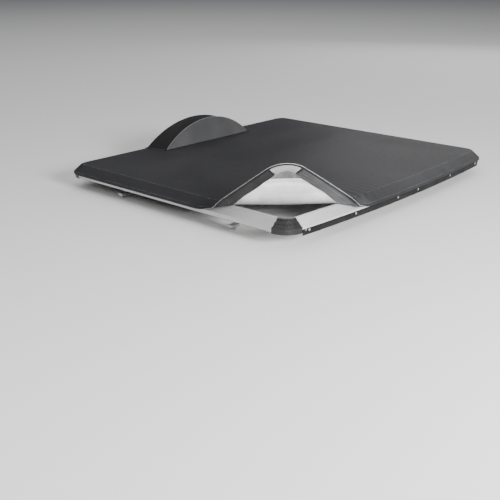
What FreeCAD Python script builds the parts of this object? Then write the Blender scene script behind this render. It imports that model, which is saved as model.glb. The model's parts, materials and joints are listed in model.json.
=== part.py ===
import FreeCAD, Part
import math
import os

V = FreeCAD.Vector

# Soft tonneau cover for a small pickup bed: an aluminium rail frame with moulded
# corner joiners, a vinyl cover in folding panels, and a raised hump at the cab end
# over a spare wheel that stands up in the bed.
#
# Frame: +X to the vehicle's right, +Y towards the cab, +Z up, in millimetres.
# Z = 0 is the plane in which the foam seals under the rails sit on the bed's caps,
# and the origin is the middle of the rail frame in that plane.

# ---------------------------------------------------------------- frame
overall_width = 1400.0        # across the rails' outer faces
overall_length = 1200.0       # from the rear corners' line to the front rail's face
rear_bulge = 25.0             # how far the rear rail bows out in the middle
corner_radius = 78.0          # outer radius of a corner joiner in plan
seal_thickness = 4.0          # foam tape under the rails
seal_width = 27.0
lip_height = 16.0             # upright outer wall of the rail
slope_run = 32.0              # slanted face, measured across
slope_rise = 28.0             # slanted face, measured up
rail_depth = 40.0             # outer wall to inner wall
rail_wall = 2.0
groove_width = 1.6
groove_depth = 0.7
port_radius = 3.2             # round screw port along the rail's inner wall
port_bore = 1.5
port_drop = 8.0               # below the rail's top
joiner_recess = 2.5
joiner_lip = 4.0
joiner_rib = 5.0
tongue_length = 30.0          # joiner's tongue inside a rail
tongue_clearance = 0.4
screw_head_radius = 3.2
screw_head_height = 1.8
screw_radius = 1.5
screw_length = 9.0
screw_height = 9.0            # above the seating plane
hole_clearance = 0.1

# ---------------------------------------------------------------- tailgate seal
tail_seal_thickness = 2.5
tail_seal_gap = 0.2           # glue line between the blade and the rail
tail_seal_top = 13.0
tail_seal_drop = 9.0          # below the seating plane
rivet_head_radius = 4.5
rivet_head_height = 1.6
rivet_height = 7.0
inner_rivets = (74.0, 345.0)   # each side of the middle
outer_rivet_inset = 24.0      # from the corner joiner

# ---------------------------------------------------------------- cover
lay_clearance = 0.4           # rail face to retaining strip
strip_thickness = 2.15
strip_rib = 0.75
strip_gap = 0.15              # strip to the cloth that it is sewn under
skin_thickness = 1.5
skirt_drop = 6.0              # cover's hem, below the rail's outer edge
hem_width = 8.0               # flat width of plateau kept with each edge band
corner_fold_leg = 315.0       # corner fold line, measured along each side
fold_setback = 165.0          # rear fold, forward of the corner fold's end
middle_length = 340.0         # between the rear fold and the front fold
corner_lift = 58.0            # degrees that the rear left corner is turned back
loose_angle = 7.0             # slant of the edge band where it is off its rail
panel_gap = 0.6               # between panels at a fold

# ---------------------------------------------------------------- spare wheel hump
hump_centre = 15.0            # X of the hump's middle
hump_setback = 10.0           # front arc, back from the front rail's crest
hump_depth = 92.0             # between the rear and front arcs
hump_rear_half = 270.0
hump_front_half = 300.0
hump_rear_height = 107.0
hump_front_height = 101.0
hoop_radius = 3.0
hoop_inset = 7.0              # hoop's centre, in from each arc
pocket_margin = 14.0          # plateau kept around the hump's mouth

# ---------------------------------------------------------------- bows
rear_bow_setback = 180.0      # forward of the rear fold
bow_width = 25.0
bow_height = 10.0
bow_wall = 1.5
bow_corner = 4.0
bow_end_gap = 8.6             # end cap to the rails' screw ports
cap_thickness = 4.0
cap_plug = 14.0
sleeve_thickness = 1.0
sleeve_setback = 40.0         # bare bow at each end of its sleeve
bow_clearance = 0.3
saddle_length = 28.0
saddle_wall = 4.0
saddle_side_gap = 2.5
saddle_floor = 7.0
saddle_cheek = 6.0            # cheek height above the floor
saddle_foot_height = 16.0

# ---------------------------------------------------------------- clamps
clamp_setback = 222.0         # from the end of a side rail
clamp_width = 30.0
bracket_plate = 3.0
bracket_reach = 36.0
bracket_top = 30.0            # top of the bracket's upright, above the seating plane
bracket_shelf = 10.0          # underside of its shelf
bolt_radius = 4.0
bolt_head_radius = 7.0
bolt_head_height = 5.3
bolt_offset = 20.0            # bolt's axis, in from the rail's inner wall
bolt_tail = 50.0              # below the seating plane
thread_clearance = 0.05
shelf_clearance = 0.3
jaw_top = 30.0                # below the seating plane
jaw_thickness = 8.0
jaw_width = 24.0
jaw_overlap = 6.0             # jaw's reach outwards past the rail's inner wall
nut_height = 6.5
bracket_rivet_radius = 2.4

# ---------------------------------------------------------------- derived
rail_bottom = seal_thickness
rail_edge = rail_bottom + lip_height
rail_top = rail_edge + slope_rise
slope_angle = math.atan2(slope_rise, slope_run)
slope_length = math.hypot(slope_run, slope_rise)
inner_face = overall_width / 2 - rail_depth
corner_x = overall_width / 2 - corner_radius
corner_y = overall_length / 2 - corner_radius
bulge_centres = (corner_x ** 2 + rear_bulge ** 2) / (2 * rear_bulge)
bulge_radius = bulge_centres + corner_radius
bulge_y = -overall_length / 2 - rear_bulge + bulge_radius
bulge_angle = math.degrees(math.asin(corner_x / bulge_centres))
skin_under = lay_clearance + strip_thickness + strip_gap
skin_over = skin_under + skin_thickness
plateau_under = rail_top + skin_under
plateau_top = rail_top + skin_over
join_depth = slope_run + hem_width
fold_sum = -(overall_width + overall_length) / 2 + corner_fold_leg
rear_fold = -overall_length / 2 + corner_fold_leg + fold_setback
front_fold = rear_fold + middle_length
hump_front = overall_length / 2 - slope_run - hump_setback
hump_rear = hump_front - hump_depth
rear_bow_y = rear_fold + rear_bow_setback
front_bow_y = (front_fold + hump_rear) / 2
clamp_spots = (clamp_setback - corner_y, corner_y - clamp_setback)
rivet_spots = inner_rivets + (corner_x - outer_rivet_inset,)

# A side of the frame is a line or an arc in plan. An arc is centre, radius and its
# two angles; a line is its start, the direction it runs in, the inward direction and
# its length. Profiles are points (depth inwards from the outer face, height).
sides = {
    "left": ("line", V(-overall_width / 2, -corner_y, 0), V(0, 1, 0), V(1, 0, 0), 2 * corner_y),
    "right": ("line", V(overall_width / 2, -corner_y, 0), V(0, 1, 0), V(-1, 0, 0), 2 * corner_y),
    "front": ("line", V(-corner_x, overall_length / 2, 0), V(1, 0, 0), V(0, -1, 0), 2 * corner_x),
    "rear": ("arc", V(0, bulge_y, 0), bulge_radius, 270 - bulge_angle, 270 + bulge_angle),
}
corners = {
    "rear_left": ("arc", V(-corner_x, -corner_y, 0), corner_radius, 180, 270 - bulge_angle),
    "rear_right": ("arc", V(corner_x, -corner_y, 0), corner_radius, 270 + bulge_angle, 360),
    "front_left": ("arc", V(-corner_x, corner_y, 0), corner_radius, 90, 180),
    "front_right": ("arc", V(corner_x, corner_y, 0), corner_radius, 0, 90),
}


def direction(degrees):
    return V(math.cos(math.radians(degrees)), math.sin(math.radians(degrees)), 0)


def polygon_face(ring):
    return Part.Face(Part.makePolygon(ring + [ring[0]]))


def section(points, base, inward):
    """Face of a profile standing on a side of the frame."""
    return polygon_face([base + inward * depth + V(0, 0, height) for depth, height in points])


def sweep(points, side):
    """Solid of a profile carried along a side."""
    if side[0] == "line":
        kind, start, along, inward, length = side
        return section(points, start, inward).extrude(along * length)
    kind, centre, radius, first, last = side
    face = section(points, centre + direction(first) * radius, direction(first) * -1)
    return face.revolve(centre, V(0, 0, 1), last - first)


def shortened(side, distance, at_end=False):
    """The stretch of a side that lies within a distance of one of its ends."""
    if side[0] == "line":
        kind, start, along, inward, length = side
        if at_end:
            start = start + along * (length - distance)
        return (kind, start, along, inward, distance)
    kind, centre, radius, first, last = side
    turn = math.degrees(distance / radius)
    if at_end:
        return (kind, centre, radius, last - turn, last)
    return (kind, centre, radius, first, first + turn)


def place_on(side, distance, at_end=False):
    """Point on the outer face at a distance from an end, and the inward direction."""
    if side[0] == "line":
        kind, start, along, inward, length = side
        run = length - distance if at_end else distance
        return start + along * run, inward
    kind, centre, radius, first, last = side
    turn = math.degrees(distance / radius)
    angle = last - turn if at_end else first + turn
    return centre + direction(angle) * radius, direction(angle) * -1


def on_slope(run, depth, angle=None):
    """Profile point: a run up the slanted face and a depth into the rail.
    Another angle swings the face about its crest."""
    angle = slope_angle if angle is None else angle
    left = slope_length - run
    return (slope_run - left * math.cos(angle) + depth * math.sin(angle),
            rail_top - left * math.sin(angle) - depth * math.cos(angle))


def edge_at(offset):
    """Where the upright wall meets the slanted face, both moved out by an offset."""
    rise = (1 / math.cos(slope_angle)) - math.tan(slope_angle)
    return (-offset, rail_edge + rise * offset)


def crest_at(offset):
    """Where the slanted face meets the level top, both moved out by an offset."""
    shift = (1 / math.cos(slope_angle) - 1) / math.tan(slope_angle)
    return (slope_run - shift * offset, rail_top + offset)


def hollow_profile(wall):
    """Inside of the rail at a distance from its outer surfaces."""
    return [(wall, rail_bottom + wall), edge_at(-wall), crest_at(-wall),
            (rail_depth - wall, rail_top - wall), (rail_depth - wall, rail_bottom + wall)]


def rail_profile():
    points = [(0, rail_bottom), edge_at(0)]
    for share in (0.3, 0.5, 0.7):
        middle = share * slope_length
        points += [on_slope(middle - groove_width / 2, 0), on_slope(middle, groove_depth),
                   on_slope(middle + groove_width / 2, 0)]
    return points + [crest_at(0), (rail_depth, rail_top), (rail_depth, rail_bottom)]


def ring_profile(depth, height, radius, count=16):
    turn = 2 * math.pi / count
    return [(depth + radius * math.cos(i * turn), height + radius * math.sin(i * turn))
            for i in range(count)]


def make_rail(side):
    rail = sweep(rail_profile(), side)
    port_depth = rail_depth + port_radius - rail_wall / 2
    port_height = rail_top - port_drop
    rail = rail.fuse(sweep(ring_profile(port_depth, port_height, port_radius), side))
    rail = rail.cut(sweep(hollow_profile(rail_wall), side))
    rail = rail.cut(sweep(ring_profile(port_depth, port_height, port_bore, 12), side))
    for at_end in (False, True):
        rail = rail.cut(screw_shape(side, at_end, hole_clearance))
    return rail.removeSplitter()


def screw_shape(side, at_end, extra=0.0):
    """A corner screw's shank, or its hole where extra is given."""
    point, inward = place_on(side, tongue_length / 2, at_end)
    start = point + V(0, 0, screw_height) - inward * extra
    return Part.makeCylinder(screw_radius + extra, screw_length + 2 * extra, start, inward)


def make_corner_screws():
    screws = []
    for side in sides.values():
        for at_end in (False, True):
            point, inward = place_on(side, tongue_length / 2, at_end)
            seat = point + V(0, 0, screw_height)
            head = Part.makeCylinder(screw_head_radius, screw_head_height, seat, inward * -1)
            screws.append(head.fuse(screw_shape(side, at_end)))
    return Part.makeCompound(screws)


def joiner_profile():
    first_recess = slope_length * 0.45
    second_recess = slope_length - 1.5 * joiner_lip
    points = [(0, 0), edge_at(0), on_slope(joiner_lip, 0), on_slope(joiner_lip + 1, joiner_recess)]
    points += [on_slope(first_recess - 1, joiner_recess), on_slope(first_recess, 0)]
    points += [on_slope(first_recess + joiner_rib, 0)]
    points += [on_slope(first_recess + joiner_rib + 1, joiner_recess)]
    points += [on_slope(second_recess - 1, joiner_recess), on_slope(second_recess, 0)]
    return points + [crest_at(0), (rail_depth, rail_top), (rail_depth, 0)]


def make_joiner(corner, tongues):
    """A corner with a tongue for each (side, at_end) that it joins."""
    joiner = sweep(joiner_profile(), corner)
    for side, at_end in tongues:
        tongue = sweep(hollow_profile(rail_wall + tongue_clearance),
                       shortened(side, tongue_length, at_end))
        joiner = joiner.fuse(tongue).cut(screw_shape(side, at_end, hole_clearance))
    return joiner.removeSplitter()


def make_foam(side):
    start = (rail_depth - seal_width) / 2
    return sweep([(start, 0), (start, rail_bottom), (start + seal_width, rail_bottom),
                  (start + seal_width, 0)], side)


def make_tail_seal():
    """Rubber blade along the rear rail's outer wall, over the tailgate's gap."""
    side = sides["rear"]
    back = -tail_seal_gap
    blade = sweep([(back, -tail_seal_drop), (back, tail_seal_top),
                   (-tail_seal_thickness / 2, tail_seal_top),
                   (-tail_seal_thickness, tail_seal_top - 3), (-tail_seal_thickness, 1),
                   (-tail_seal_thickness / 2, -tail_seal_drop)], side)
    for point, inward in end_screw_places(side):
        reach = screw_head_radius + 1
        pocket = Part.makeCylinder(reach, 2 * tail_seal_thickness, point + inward, inward * -1)
        blade = blade.cut(pocket)
    return blade


def end_screw_places(side):
    places = [place_on(side, tongue_length / 2, at_end) for at_end in (False, True)]
    return [(point + V(0, 0, screw_height), inward) for point, inward in places]


def make_tail_rivets():
    rivets = []
    for spot in [sign * spot for spot in rivet_spots for sign in (-1, 1)]:
        angle = 270 + math.degrees(math.asin(spot / bulge_radius))
        outward = direction(angle)
        seat = V(0, bulge_y, rivet_height) + outward * (bulge_radius + tail_seal_thickness)
        rivets.append(Part.makeCylinder(rivet_head_radius, rivet_head_height, seat, outward))
    return Part.makeCompound(rivets)


# ---------------------------------------------------------------- cover
def outline_face(depth, height):
    """Face inside the frame's outline, moved in by a depth, at a height."""
    edges = []
    for side in list(sides.values()) + list(corners.values()):
        if side[0] == "line":
            kind, start, along, inward, length = side
            base = start + inward * depth + V(0, 0, height)
            edges.append(Part.LineSegment(base, base + along * length).toShape())
        else:
            kind, centre, radius, first, last = side
            spots = [centre + direction(angle) * (radius - depth) + V(0, 0, height)
                     for angle in (first, (first + last) / 2, last)]
            edges.append(Part.Arc(*spots).toShape())
    return Part.Face(Part.Wire(Part.__sortEdges__(edges)))


def band_profile():
    """Edge of the cover: skirt, slanted band and the start of the level top."""
    hem = rail_edge - skirt_drop
    return [(-skin_under, hem), (-skin_over, hem), edge_at(skin_over), crest_at(skin_over),
            (join_depth, plateau_top), (join_depth, plateau_under), crest_at(skin_under),
            edge_at(skin_under)]


def loose_band_profile():
    """Edge of the turned-back corner: its band has sprung nearly flat."""
    angle = math.radians(loose_angle)
    lean = math.tan(angle / 2)
    hem = skirt_drop - lip_height / 8
    return [on_slope(-hem, -skin_under, angle), on_slope(-hem, -skin_over, angle),
            (slope_run - skin_over * lean, plateau_top), (join_depth, plateau_top),
            (join_depth, plateau_under), (slope_run - skin_under * lean, plateau_under)]


def strip_profile(angle=None):
    """Ribbed retaining strip sewn to the underside of the edge band."""
    first, last = 3.0, slope_length - 3.0
    top = -(lay_clearance + strip_thickness)
    under = -(lay_clearance + strip_rib)
    points = [on_slope(first, top, angle), on_slope(last, top, angle), on_slope(last, under, angle)]
    for share in (0.8, 0.5, 0.2):
        middle = share * slope_length
        for step, height in ((2.2, under), (1.4, -lay_clearance), (-1.4, -lay_clearance), (-2.2, under)):
            points.append(on_slope(middle + step, height, angle))
    return points + [on_slope(first, under, angle)]


def slab(y_low, y_high):
    """Everything between two planes across the cover."""
    reach = overall_width + overall_length
    box = Part.makeBox(2 * reach, y_high - y_low, 2 * reach)
    box.translate(V(-reach, y_low, -reach))
    return box


def corner_block(gap):
    """Everything on the corner's side of the corner fold line, moved out by a gap."""
    reach = overall_width + overall_length
    block = Part.makeBox(2 * reach, reach, 2 * reach)
    block.translate(V(-reach, -reach - gap, -reach))
    block.rotate(V(0, 0, 0), V(0, 0, 1), -45)
    block.translate(V(fold_sum / 2, fold_sum / 2, 0))
    return block


def lifted(shape):
    """The corner's pieces, turned back about the corner fold line."""
    turned = shape.copy()
    turned.rotate(V(fold_sum / 2, fold_sum / 2, plateau_top), V(-1, 1, 0), corner_lift)
    return turned


def solids_of(shape):
    """One solid, or a group of them."""
    pieces = shape.Solids
    return pieces[0] if len(pieces) == 1 else Part.makeCompound(pieces)


regions = {
    "front": slab(front_fold + panel_gap / 2, overall_length),
    "middle": slab(rear_fold + panel_gap / 2, front_fold - panel_gap / 2),
    "rear": slab(-overall_length, rear_fold - panel_gap / 2).cut(corner_block(-panel_gap / 2)),
    "corner": corner_block(panel_gap / 2),
}


def hump_at(y):
    """Half width and height of the hump at a place along Y."""
    share = (y - hump_rear) / (hump_front - hump_rear)
    half = hump_rear_half + share * (hump_front_half - hump_rear_half)
    height = hump_rear_height + share * (hump_front_height - hump_rear_height)
    return half, height


def hump_circle(y):
    """Radius of the hump's arc and the height of its centre, at a place along Y."""
    half, height = hump_at(y)
    radius = (half ** 2 + height ** 2) / (2 * height)
    return radius, plateau_top + height - radius


def hump_arc(y, inset):
    """Arc over the hump, moved in by an inset, ending on the cover's top."""
    radius, centre = hump_circle(y)
    radius -= inset
    half = math.sqrt(radius ** 2 - (plateau_top - centre) ** 2)
    spots = [V(hump_centre - half, y, plateau_top), V(hump_centre, y, centre + radius),
             V(hump_centre + half, y, plateau_top)]
    return Part.Arc(*spots).toShape(), spots


def hump_arch():
    """Curved top panel of the hump."""
    wires = []
    for y in (hump_rear, hump_front):
        outer, outer_spots = hump_arc(y, 0)
        inner, inner_spots = hump_arc(y, skin_thickness)
        ends = [Part.LineSegment(outer_spots[i], inner_spots[i]).toShape() for i in (0, 2)]
        wires.append(Part.Wire(Part.__sortEdges__([outer, ends[1], inner, ends[0]])))
    return Part.makeLoft(wires, True, True)


def hump_end(y, thickness):
    """Upright panel that closes the hump at one end."""
    arc, spots = hump_arc(y, 0)
    chord = Part.LineSegment(spots[2], spots[0]).toShape()
    face = Part.Face(Part.Wire([arc, chord]))
    return face.extrude(V(0, thickness, 0))


def hump_hoop(y):
    """Bent rod that holds the hump's panels out, standing on the cover."""
    inset = skin_thickness + 0.5 + hoop_radius
    radius, centre = hump_circle(y)
    arc_radius = radius - inset
    start = math.degrees(math.asin((plateau_top - centre) / arc_radius)) - 1
    base = V(hump_centre + arc_radius * math.cos(math.radians(start)), y,
             centre + arc_radius * math.sin(math.radians(start)))
    tangent = V(-math.sin(math.radians(start)), 0, math.cos(math.radians(start)))
    disc = Part.Face(Part.Wire(Part.makeCircle(hoop_radius, base, tangent)))
    hoop = disc.revolve(V(hump_centre, y, centre), V(0, -1, 0), 180 - 2 * start)
    floor = Part.makeBox(2 * overall_width, overall_length, 200)
    floor.translate(V(-overall_width, y - overall_length / 2, plateau_top + 0.3 - 200))
    return hoop.cut(floor)


def hump_mouth():
    """Opening in the cover's top under the hump."""
    rear_y, front_y = hump_rear + 3, hump_front - 3
    ring = []
    for y, sign in ((rear_y, -1), (rear_y, 1), (front_y, 1), (front_y, -1)):
        half = hump_at(y)[0] - pocket_margin
        ring.append(V(hump_centre + sign * half, y, rail_top))
    return polygon_face(ring).extrude(V(0, 0, 4 * skin_over))


def whole_skin(profile):
    """The cover's top layer before it is parted into panels, with its edge band."""
    skin = outline_face(join_depth, plateau_under).extrude(V(0, 0, skin_thickness))
    bands = [sweep(profile, side) for side in list(sides.values()) + list(corners.values())]
    return skin.fuse(bands).removeSplitter()


def make_panels():
    skin = whole_skin(band_profile())
    loose_skin = whole_skin(loose_band_profile())
    return {
        "front_panel": skin.common(regions["front"]).cut(hump_mouth()),
        "middle_panel": skin.common(regions["middle"]),
        "rear_panel": skin.common(regions["rear"]),
        "corner_flap": lifted(loose_skin.common(regions["corner"])),
    }


def make_strips():
    strip = strip_profile()
    along = {name: sweep(strip, side) for name, side in sides.items()}
    around = {name: sweep(strip, corner) for name, corner in corners.items()}
    loose = strip_profile(math.radians(loose_angle))
    front_set = [along["front"], around["front_left"], around["front_right"],
                 along["left"].common(regions["front"]), along["right"].common(regions["front"])]
    middle_set = [along[name].common(regions["middle"]) for name in ("left", "right")]
    return {
        "front_edge_strips": Part.makeCompound([piece for s in front_set for piece in s.Solids]),
        "middle_edge_strips": Part.makeCompound([piece for s in middle_set for piece in s.Solids]),
        "rear_left_strip": along["left"].common(regions["rear"]),
        "rear_right_strip": along["right"].common(regions["rear"]),
        "rear_edge_strip": along["rear"].common(regions["rear"]),
        "rear_right_corner_strip": around["rear_right"],
        "flap_left_strip": lifted(sweep(loose, sides["left"]).common(regions["corner"])),
        "flap_rear_strip": lifted(sweep(loose, sides["rear"]).common(regions["corner"])),
        "flap_corner_strip": lifted(sweep(loose, corners["rear_left"])),
    }


# ---------------------------------------------------------------- bows
bow_top = plateau_under - bow_clearance - sleeve_thickness - bow_clearance
bow_middle = bow_top - bow_height / 2
saddle_outer = inner_face - 2 * port_radius - 1
bow_half_length = saddle_outer - bow_end_gap - cap_thickness
sleeve_half_length = bow_half_length - sleeve_setback


def rounded_bar(half_x, width, height, radius, y, z):
    """Bar along X with a rounded rectangular section."""
    bar = Part.makeBox(2 * half_x, width, height)
    bar.translate(V(-half_x, y - width / 2, z - height / 2))
    edges = [edge for edge in bar.Edges if abs(edge.Length - 2 * half_x) < 0.01
             and abs(edge.tangentAt(0).x) > 0.99]
    return bar.makeFillet(radius, edges)


def make_bow(y):
    outer = rounded_bar(bow_half_length, bow_width, bow_height, bow_corner, y, bow_middle)
    inner = rounded_bar(bow_half_length + 1, bow_width - 2 * bow_wall, bow_height - 2 * bow_wall,
                        bow_corner - bow_wall, y, bow_middle)
    return outer.cut(inner)


def make_bow_caps(y):
    flange = rounded_bar(bow_half_length + cap_thickness, bow_width, bow_height, bow_corner, y, bow_middle)
    fit = bow_wall + 0.1
    plug = rounded_bar(bow_half_length + cap_thickness / 2, bow_width - 2 * fit, bow_height - 2 * fit,
                       bow_corner - fit, y, bow_middle)
    middle = Part.makeBox(2 * bow_half_length, 2 * bow_width, 2 * bow_height)
    middle.translate(V(-bow_half_length, y - bow_width, bow_middle - bow_height))
    short = Part.makeBox(2 * (bow_half_length - cap_plug), 2 * bow_width, 2 * bow_height)
    short.translate(V(-bow_half_length + cap_plug, y - bow_width, bow_middle - bow_height))
    return solids_of(flange.cut(middle).fuse(plug.cut(short)))


def make_sleeve(y):
    """Pocket sewn under the cover, round the bow."""
    gap = 2 * (bow_clearance + sleeve_thickness)
    outer = rounded_bar(sleeve_half_length, bow_width + gap, bow_height + gap, bow_corner + gap / 2,
                        y, bow_middle)
    inner = rounded_bar(sleeve_half_length + 1, bow_width + 2 * bow_clearance,
                        bow_height + 2 * bow_clearance, bow_corner + bow_clearance, y, bow_middle)
    return outer.cut(inner)


def make_saddles(y):
    """A pair of cradles on the side rails' inner walls."""
    floor_top = bow_top - bow_height - bow_clearance
    half_slot = bow_width / 2 + saddle_side_gap
    half_width = half_slot + saddle_wall
    inner_end = saddle_outer - saddle_length
    cup = Part.makeBox(saddle_length, 2 * half_width, saddle_floor + saddle_cheek,
                       V(inner_end, y - half_width, floor_top - saddle_floor))
    slot = Part.makeBox(2 * saddle_length, 2 * half_slot, 2 * saddle_cheek,
                        V(inner_end - saddle_length / 2, y - half_slot, floor_top))
    foot = Part.makeBox(inner_face - inner_end - saddle_length / 2, 2 * half_width, saddle_foot_height,
                        V(inner_end + saddle_length / 2, y - half_width,
                          floor_top - saddle_floor / 2 - saddle_foot_height))
    right = cup.cut(slot).fuse(foot).removeSplitter()
    left = right.mirror(V(0, 0, 0), V(1, 0, 0))
    return Part.makeCompound(right.Solids + left.Solids)


# ---------------------------------------------------------------- clamps
def block(sign, near, far, y, width, low, high):
    """Box between two distances from the middle plane, on the side given by sign."""
    corner = V(near if sign > 0 else -far, y - width / 2, low)
    return Part.makeBox(far - near, width, high - low, corner)


def make_bracket(sign, y):
    upright = block(sign, inner_face - bracket_plate, inner_face, y, clamp_width,
                    bracket_shelf, bracket_top)
    shelf = block(sign, inner_face - bracket_reach, inner_face, y, clamp_width,
                  bracket_shelf, bracket_shelf + bracket_plate)
    bolt_x = sign * (inner_face - bolt_offset)
    hole = Part.makeCylinder(bolt_radius + shelf_clearance, 3 * bracket_plate,
                             V(bolt_x, y, bracket_shelf - bracket_plate))
    return upright.fuse(shelf).cut(hole).removeSplitter()


def make_bracket_rivets():
    rivets = []
    for sign in (-1, 1):
        for y in clamp_spots:
            for side in (-1, 1):
                seat = V(sign * (inner_face - bracket_plate), y + side * clamp_width / 4,
                         (bracket_shelf + bracket_plate + bracket_top) / 2)
                rivets.append(Part.makeCylinder(bracket_rivet_radius, 1.4, seat, V(-sign, 0, 0)))
    return Part.makeCompound(rivets)


def hexagon(radius, height, x, y, z):
    ring = [V(x + radius * math.cos(i * math.pi / 3), y + radius * math.sin(i * math.pi / 3), z)
            for i in range(6)]
    return polygon_face(ring).extrude(V(0, 0, height))


def make_bolt(sign, y):
    x = sign * (inner_face - bolt_offset)
    head_seat = bracket_shelf + bracket_plate + shelf_clearance
    shank = Part.makeCylinder(bolt_radius, head_seat + bolt_tail, V(x, y, -bolt_tail))
    head = hexagon(bolt_head_radius, bolt_head_height, x, y, head_seat)
    return shank.fuse(head).removeSplitter()


def make_jaw(sign, y):
    x = sign * (inner_face - bolt_offset)
    plate = block(sign, inner_face - bracket_reach, inner_face + jaw_overlap, y, jaw_width,
                  -jaw_top - jaw_thickness, -jaw_top)
    nose = block(sign, inner_face - 2, inner_face + jaw_overlap, y, jaw_width,
                 -jaw_top - jaw_thickness, -jaw_top + 2)
    hole = Part.makeCylinder(bolt_radius + thread_clearance, 3 * jaw_thickness,
                             V(x, y, -jaw_top - 2 * jaw_thickness))
    return plate.fuse(nose).cut(hole).removeSplitter()


def make_nut(sign, y):
    x = sign * (inner_face - bolt_offset)
    low = -jaw_top - jaw_thickness - nut_height
    hole = Part.makeCylinder(bolt_radius + thread_clearance, 3 * nut_height, V(x, y, low - nut_height))
    return hexagon(bolt_head_radius, nut_height, x, y, low).cut(hole)


# ---------------------------------------------------------------- all pieces
def all_pieces():
    pieces = {"rail_" + name: make_rail(side) for name, side in sides.items()}
    joints = {"rear_left": [("left", False), ("rear", False)],
              "rear_right": [("right", False), ("rear", True)],
              "front_left": [("left", True), ("front", False)],
              "front_right": [("right", True), ("front", True)]}
    for name, ends in joints.items():
        tongues = [(sides[side], at_end) for side, at_end in ends]
        pieces["corner_joiner_" + name] = make_joiner(corners[name], tongues)
    pieces["corner_screws"] = make_corner_screws()
    for name, side in sides.items():
        pieces["foam_seal_" + name] = make_foam(side)
    pieces["tailgate_seal"] = make_tail_seal()
    pieces["tailgate_seal_rivets"] = make_tail_rivets()
    pieces.update(make_panels())
    pieces.update(make_strips())
    pieces["hump_arch_panel"] = hump_arch()
    pieces["hump_rear_panel"] = hump_end(hump_rear, -skin_thickness)
    pieces["hump_front_panel"] = hump_end(hump_front, skin_thickness)
    pieces["hump_rear_hoop"] = hump_hoop(hump_rear + hoop_inset)
    pieces["hump_front_hoop"] = hump_hoop(hump_front - hoop_inset)
    for name, y in (("rear_bow", rear_bow_y), ("front_bow", front_bow_y)):
        pieces[name] = make_bow(y)
        pieces[name + "_end_caps"] = make_bow_caps(y)
        pieces[name + "_sleeve"] = make_sleeve(y)
        pieces[name + "_saddles"] = make_saddles(y)
    for side_name, sign in (("left", -1), ("right", 1)):
        for end_name, y in zip(("rear", "front"), clamp_spots):
            place = side_name + "_" + end_name
            pieces["clamp_bracket_" + place] = make_bracket(sign, y)
            pieces["clamp_bolt_" + place] = make_bolt(sign, y)
            pieces["clamp_jaw_" + place] = make_jaw(sign, y)
            pieces["clamp_nut_" + place] = make_nut(sign, y)
    pieces["clamp_bracket_rivets"] = make_bracket_rivets()
    return pieces


os.makedirs("parts", exist_ok=True)
for node, shape in all_pieces().items():
    kept = solids_of(shape)
    assert kept.isValid() and kept.Volume > 0, node
    kept.exportStep("parts/" + node + ".step")
    print(node, len(kept.Solids), round(kept.Volume / 1000, 2))
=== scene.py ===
# %% [markdown]
# A tonneau cover closes the load bed of a pickup truck. Black vinyl is stretched
# over four aluminium rails and two cross bows, with a stitched hump at the cab
# end for a spare wheel. One rear corner is turned back, and shows how the cloth
# ends in ribbed strips that grip the rails. The hard parts come ready made with
# the frame. This lesson gives them finishes, and sews the cloth from thin closed
# meshes. Lengths are in metres.

# %% Load the frame
import json
import math

import bpy
import numpy as np
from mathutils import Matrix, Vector


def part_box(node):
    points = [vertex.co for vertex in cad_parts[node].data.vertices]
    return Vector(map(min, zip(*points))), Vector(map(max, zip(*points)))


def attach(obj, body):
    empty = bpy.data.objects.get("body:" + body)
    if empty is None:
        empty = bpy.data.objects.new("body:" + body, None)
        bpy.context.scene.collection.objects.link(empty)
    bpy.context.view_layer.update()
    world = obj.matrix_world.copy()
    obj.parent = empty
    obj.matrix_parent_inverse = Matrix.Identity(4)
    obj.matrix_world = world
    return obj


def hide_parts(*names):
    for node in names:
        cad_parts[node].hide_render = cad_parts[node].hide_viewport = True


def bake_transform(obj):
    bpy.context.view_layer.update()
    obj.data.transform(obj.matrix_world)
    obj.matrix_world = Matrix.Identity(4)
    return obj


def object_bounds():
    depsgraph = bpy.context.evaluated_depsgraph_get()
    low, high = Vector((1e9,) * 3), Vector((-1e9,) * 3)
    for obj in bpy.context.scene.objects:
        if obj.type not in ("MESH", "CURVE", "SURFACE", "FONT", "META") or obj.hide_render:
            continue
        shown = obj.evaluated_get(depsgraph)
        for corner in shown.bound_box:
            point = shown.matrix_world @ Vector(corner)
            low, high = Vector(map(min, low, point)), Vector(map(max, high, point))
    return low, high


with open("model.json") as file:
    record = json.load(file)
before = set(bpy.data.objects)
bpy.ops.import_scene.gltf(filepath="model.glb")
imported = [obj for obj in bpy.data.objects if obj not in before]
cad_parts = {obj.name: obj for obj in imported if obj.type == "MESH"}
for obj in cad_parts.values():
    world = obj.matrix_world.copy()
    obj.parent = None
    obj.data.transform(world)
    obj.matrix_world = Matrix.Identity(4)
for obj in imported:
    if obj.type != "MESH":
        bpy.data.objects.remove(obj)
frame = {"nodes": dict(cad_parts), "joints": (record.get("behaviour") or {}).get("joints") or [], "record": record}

cad_low, cad_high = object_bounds()
joints = {joint["name"]: joint for joint in frame["joints"]}
print("frame:", len(frame["nodes"]), "parts, size", [round(v, 3) for v in cad_high - cad_low])


# %% [markdown]
# Every finish has some unevenness, and several finishes share the same kind. A
# node group holds each kind once: the pebble grain of vinyl, the threads of a
# woven cloth, the draw lines of an extrusion, and the dust and rubbing of use.
# The groups give out only heights and masks. The shader and its gloss stay in
# each material.

# %% Helpers for node groups
def new_group(name, inputs, outputs):
    """Empty shader node group with named number sockets."""
    group = bpy.data.node_groups.new(name, "ShaderNodeTree")
    for label, value in inputs.items():
        socket = group.interface.new_socket(label, in_out="INPUT", socket_type="NodeSocketFloat")
        socket.default_value = value
    for label in outputs:
        group.interface.new_socket(label, in_out="OUTPUT", socket_type="NodeSocketFloat")
    return group, group.nodes.new("NodeGroupInput"), group.nodes.new("NodeGroupOutput")


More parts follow.
